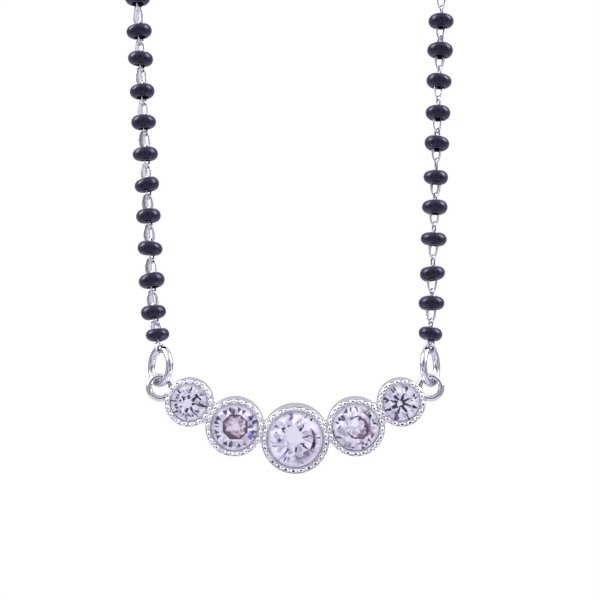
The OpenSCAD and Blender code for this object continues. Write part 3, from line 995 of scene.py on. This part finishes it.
# Strokes of painted reflection on the other four: where each starts and ends, across and up, and its half
# width at the start, in hundredths of the open radius, and its tone
LEFT_STROKES = [
    (-21, 18, -31, 36, 7.4, NAVY), (-34, 35, -16, 33, 5, NAVY), (-16, 33, 0, 37, 2.6, SMOKE),
    (3, 22, 3, 43, 7.3, NAVY), (3, 42, -8, 36, 4.6, NAVY), (1, 63, 2, 54, 7.9, NAVY),
    (7, 64, 14, 88, 5.7, NAVY), (-6, 61, -17, 74, 5.3, SMOKE), (-27, 57, -23, 66, 3.7, SMOKE),
    (-42, 50, -62, 72, 6.6, NAVY), (-50, 40, -60, 41, 5.9, SMOKE), (-57, 23, -65, 32, 5, SMOKE),
    (-66, 10, -99, 10, 5.7, SMOKE), (-38, 17, -50, 10, 7, NAVY), (-63, -7, -77, -16, 6.6, NAVY),
    (-58, -28, -72, -20, 5, SMOKE), (-41, -14, -42, -23, 5.9, NAVY), (-58, -42, -84, -56, 5.9, SMOKE),
    (-46, -40, -41, -60, 5.3, SMOKE), (-5, -27, -10, -50, 7.9, NAVY), (-20, -36, -8, -44, 4.6, NAVY),
    (-24, -58, -36, -67, 5.3, SMOKE), (-5, -58, 11, -73, 5.9, NAVY), (-13, -60, -14, -93, 4.6, SMOKE),
    (9, -19, 23, -45, 7.9, NAVY), (23, -45, 50, -77, 4, SMOKE), (21, -73, 21, -60, 6.3, SMOKE),
    (34, -41, 57, -46, 5.9, SMOKE), (18, -4, 44, -5, 9, NAVY), (46, -7, 95, -20, 7.3, NAVY),
    (60, -17, 58, 11, 7, SMOKE), (57, -26, 64, -36, 4.2, SMOKE), (17, 12, 44, 36, 8.6, NAVY),
    (34, 48, 68, 18, 7.3, NAVY), (59, 39, 70, 49, 5.3, SMOKE), (71, 36, 80, 44, 4.2, SMOKE),
]
MIDDLE_STROKES = [
    (-14, 70, -14, 96, 6, (0.15, 0.12, 0.36)), (-20, 72, -17, 95, 1.4, INDIGO),
    (-22, 96, -21, 88, 2.6, SMOKE), (8, 70, 7, 60, 2.6, SMOKE), (-40, 64, -29, 66, 2.4, GREY),
    (-24, 49, -15, 56, 3.1, NAVY), (-49, 38, -35, 45, 4.3, NAVY), (-46, 37, -37, 27, 3.6, SMOKE),
    (-73, 53, -58, 40, 7.2, GREY), (-72, 54, -69, 46, 3.6, SMOKE), (-63, 26, -69, 23, 3.1, NAVY),
    (-50, 6, -61, -2, 6.2, SMOKE), (-91, -6, -64, -10, 2.2, GREY), (-81, -20, -72, -18, 3.6, SMOKE),
    (-73, -18, -53, -15, 3.4, GREY), (-22, -25, -39, -50, 5.3, INDIGO),
    (-39, -50, -61, -78, 2.6, (0.30, 0.26, 0.62)), (-36, -57, -44, -75, 3.4, INDIGO),
    (-28, -60, -21, -66, 3.1, SMOKE), (0, -21, 2, -38, 4.6, NAVY), (-23, -42, -9, -40, 8.4, GREY),
    (16, -30, 28, -31, 7.2, GREY), (5, -53, 9, -63, 2.9, SMOKE), (9, -63, 40, -60, 2.9, SMOKE),
    (52, -46, 30, -45, 12, (0.17, 0.13, 0.19)), (66, 21, 56, 41, 4.6, PLUM),
    (68, -4, 66, 22, 8.6, (0.12, 0.07, 0.12)), (68, 0, 49, -35, 6.2, PLUM),
    (68, -8, 57, -42, 3.6, PLUM), (60, -38, 72, -48, 1.9, SMOKE), (17, 32, 32, 53, 5, NAVY),
    (26, 28, 42, 38, 1.9, SMOKE), (48, 15, 24, 8, 2.9, NAVY), (48, 15, 66, 15, 1.9, SMOKE),
    (18, -8, 45, -28, 4.8, NAVY), (29, -5, 29, -10, 3.1, SMOKE), (87, 7, 74, 8, 3.8, SMOKE),
    (36, 79, 48, 89, 2.2, SMOKE), (57, 77, 56, 66, 4.8, NAVY), (10, 46, 22, 47, 7.2, GREY),
    (11, -65, 13, -94, 1.7, MAUVE), (20, -70, 24, -86, 6.6, GREY),
]
ROSE_STROKES = [
    (0, 22, 24, -26, 36, (0.54, 0.49, 0.57)), (-16, 28, 6, 12, 19, BRIGHT),
    (16, -22, 40, -6, 12, (0.30, 0.24, 0.32)), (-70, -6, -42, -30, 13, GREY),
    (22, 12, 30, 2, 5, BRIGHT), (2, -4, 16, -20, 4.5, BRIGHT),
    (-16, -14, 2, -30, 6, (0.38, 0.32, 0.41)), (20, 74, 50, 62, 11, GREY), (-52, -72, -2, -88, 9, GREY),
    (-42, 59, -41, 82, 9.1, SMOKE), (-24, 83, -24, 67, 4.4, SMOKE), (-3, 90, 8, 70, 3.6, SMOKE),
    (-50, 31, -59, 53, 10.8, SMOKE), (-67, 29, -75, 44, 8.1, SMOKE), (-86, 21, -74, 14, 4.9, SMOKE),
    (-75, -3, -63, 10, 3, NAVY), (-38, 24, -36, 10, 3.9, GREY), (-86, -40, -58, -43, 6.1, SMOKE),
    (-98, -14, -92, -46, 4.9, SMOKE), (-24, 39, 13, 50, 4.7, LILAC), (12, 51, 40, 28, 6.5, LILAC),
    (49, 4, 39, 30, 9.7, (0.12, 0.07, 0.12)), (49, 6, 47, -20, 9.1, PLUM),
    (38, -36, 49, -18, 9.7, LILAC), (38, -36, -8, -43, 8.5, LILAC), (-8, -43, -39, -15, 4, LILAC),
    (62, -30, 56, 14, 6.9, (0.26, 0.19, 0.28)), (58, 12, 53, 50, 5.5, (0.24, 0.18, 0.26)),
    (10, 36, 26, 40, 5.3, PLUM), (36, 9, 37, 0, 6.1, NAVY), (25, -15, 36, -11, 7.5, (0.14, 0.10, 0.15)),
    (30, -34, 4, -29, 7.7, (0.16, 0.11, 0.16)), (34, 65, 56, 45, 4.7, SMOKE),
    (60, 64, 55, 42, 7.7, NAVY), (46, 68, 57, 76, 3, SMOKE), (70, 36, 70, 27, 4.1, SMOKE),
    (81, 38, 82, 30, 4.1, GREY), (71, 22, 94, 10, 4.4, SMOKE), (73, -27, 66, -46, 6.3, SMOKE),
    (51, -49, 65, -63, 4.4, NAVY), (41, -64, 44, -76, 7.5, SMOKE), (22, -83, 36, -84, 6.3, SMOKE),
    (29, -58, 28, -74, 4.7, SMOKE), (29, -58, -2, -72, 4.1, MAUVE), (-26, -66, -33, -85, 3.9, SMOKE),
    (-17, -88, -7, -81, 3.9, SMOKE), (-46, -95, -14, -96, 4.7, GREY),
]
RIGHT_STROKES = [
    (-42, 42, -14, 15, 9.5, NAVY), (-1, 12, 10, 55, 9.2, NAVY), (2, 5, 40, 27, 8, NAVY),
    (3, 0, 50, -15, 8.8, NAVY), (40, -12, 53, -18, 4.6, SMOKE), (-3, -11, 28, -50, 9.4, NAVY),
    (-19, -54, -9, -16, 6.4, NAVY), (-25, -11, -53, -27, 14.2, NAVY), (-24, 4, -62, 15, 8.4, NAVY),
    (-40, 54, -57, 77, 5.3, NAVY), (-33, 68, -43, 85, 6.5, NAVY), (10, 90, 10, 80, 7, SMOKE),
    (25, 88, 22, 62, 8.6, PLUM), (60, 38, 72, 47, 6.5, NAVY), (68, 25, 80, 36, 6.5, NAVY),
    (50, 18, 59, 10, 5.5, SMOKE), (58, -19, 85, -28, 7.7, NAVY), (-95, 25, -66, 11, 7.7, NAVY),
    (-84, 10, -70, 8, 10.8, SMOKE), (-57, -30, -98, -52, 7, NAVY), (28, -58, 43, -89, 6.8, SMOKE),
    (-25, -90, -29, -46, 13, (0.09, 0.07, 0.17)), (-35, -96, -31, -66, 5.3, SMOKE),
    (-23, 52, -23, 43, 5.8, SMOKE),
]

ringed_stone("stone_inner_left", mirrored(LEFT, inner_at), 22.5, (0.035, 0.045), 4.0, MARKS)
stroked_stone("stone_center", CENTER_D, (0, 0), 12.0, (-0.05, 0.20), 0.26, 5.0, 0.07, MIDDLE_STROKES)
stroked_stone("stone_inner_right", INNER_D, mirrored(RIGHT, inner_at), 26.0, (-0.05, 0.15), 0.12,
              9.0, 0.05, ROSE_STROKES)
stroked_stone("stone_outer_left", OUTER_D, mirrored(LEFT, outer_at), -8.0, (-0.08, 0.0), 0.18,
              5.6, 0.055, LEFT_STROKES)
stroked_stone("stone_outer_right", OUTER_D, mirrored(RIGHT, outer_at), -13.0, (-0.08, -0.02), 0.04,
              8.75, 0.055, RIGHT_STROKES)


# Studio

def band(value, middle, half, soft):
    """1 where a value is within half of the middle, in degrees, with soft edges."""
    apart = calc("ABSOLUTE", minus(value, math.radians(middle)))
    return smooth_step(apart, math.radians(half + soft), math.radians(half - soft))


# Patches of the studio that the metal and glass reflect: the way round from the camera's side
# and its half width, the rise and its half height, in degrees, the softness and the tone
CARDS = [
    (0, 16, 11, 18, 5, (0.05, 0.045, 0.06)),
    (-50, 11, 0, 34, 4, (0.04, 0.035, 0.05)),
    (50, 11, 0, 34, 4, (0.04, 0.035, 0.05)),
    (-81, 18, 36, 19, 9, (12.0, 11.5, 14.0)),
    (81, 18, 36, 19, 9, (12.0, 11.5, 14.0)),
]


def studio():
    """A soft white studio for reflections, with dark and bright cards. Behind the object, as the
    photograph shows it, the wall is plain white, and elsewhere a pale grey."""
    world = bpy.data.worlds.new("studio")
    world.use_nodes = True
    tree = world.node_tree
    tree.nodes.clear()
    ray = node(tree, "ShaderNodeTexCoord").outputs["Generated"]
    parts = node(tree, "ShaderNodeSeparateXYZ", {0: ray}).outputs
    ahead = product(parts["Y"], -1.0)
    around = calc("ARCTAN2", parts["X"], ahead)
    rise = calc("ARCSINE", parts["Z"])
    part = calc("DIVIDE", calc("ABSOLUTE", around), math.pi)
    colour = ramp(part, [
        (0.0, (0.96, 0.95, 0.99)), (0.42, (0.94, 0.93, 0.98)), (0.52, (0.36, 0.34, 0.40)),
        (0.82, (0.32, 0.30, 0.36)), (0.92, (0.56, 0.54, 0.61))])
    colour = mixed(band(rise, 90, 48, 14), colour, (1.0, 0.99, 1.0, 1))
    colour = mixed(band(rise, -90, 74, 8), colour, (0.60, 0.58, 0.65, 1))
    for way, width, lift, height, soft, tone in CARDS:
        mask = product(band(around, way, width, soft), band(rise, lift, height, soft))
        colour = mixed(mask, colour, (*tone, 1))
    rays = node(tree, "ShaderNodeLightPath").outputs
    colour = mixed(rays["Is Diffuse Ray"], colour, (0.95, 0.94, 0.98, 1))
    light = node(tree, "ShaderNodeBackground", {"Color": colour, "Strength": 1.0})
    backdrop = smooth_step(parts["Y"], 0.80, 0.92)
    wall = mixed(backdrop, (0.70, 0.70, 0.72, 1), (1, 1, 1, 1))
    plain = node(tree, "ShaderNodeBackground", {"Color": wall, "Strength": 1.0})
    both = node(tree, "ShaderNodeMixShader", {
        0: rays["Is Camera Ray"], 1: light.outputs[0], 2: plain.outputs[0]})
    node(tree, "ShaderNodeOutputWorld", {"Surface": both.outputs[0]})
    bpy.context.scene.world = world


FLOOR_R, FLOOR_Z = 0.16, -0.285


def floor():
    """A round pale floor, in metres, under the hanging necklace."""
    pale, tree, shader = material("pale_floor")
    place = node(tree, "ShaderNodeTexCoord").outputs["Object"]
    tone = ramp(noise(place, 6.0), [(0.3, (0.42, 0.415, 0.435)), (0.7, (0.45, 0.445, 0.465))])
    feed(shader, {"Base Color": tone, "Roughness": 0.7})
    mesh = bpy.data.meshes.new("floor")
    ring = [(FLOOR_R * cos(a), FLOOR_R * sin(a), 0) for a in range(0, 360, 5)]
    mesh.from_pydata(ring, [], [tuple(range(len(ring)))])
    mesh.materials.append(pale)
    disc = placed("floor", mesh)
    disc.location = (0, 0, FLOOR_Z)


# The camera's way from its target and its rise, and the target from the middle stone
CAMERA_WAY, CAMERA_RISE = 150.0, -6.5
TARGET_OUT, TARGET_UP = 0.47, 13.97


def camera():
    face_z = hinge_z + (hang.to_3x3() @ -hinge_at).z
    target = Vector((pendant_x + TARGET_OUT, 0, face_z + TARGET_UP))
    place = target + CAMERA_WAY * Vector((0, -cos(CAMERA_RISE), sin(CAMERA_RISE)))
    data = bpy.data.cameras.new("camera")
    data.lens, data.sensor_width = 90, 36
    data.clip_start, data.clip_end = 0.005, 10
    made = placed("camera", data)
    made.location = place * MM
    made.rotation_euler = (target - place).to_track_quat("-Z", "Y").to_euler()
    bpy.context.scene.camera = made


studio()
floor()
camera()
bpy.context.scene.view_settings.view_transform = "Standard"
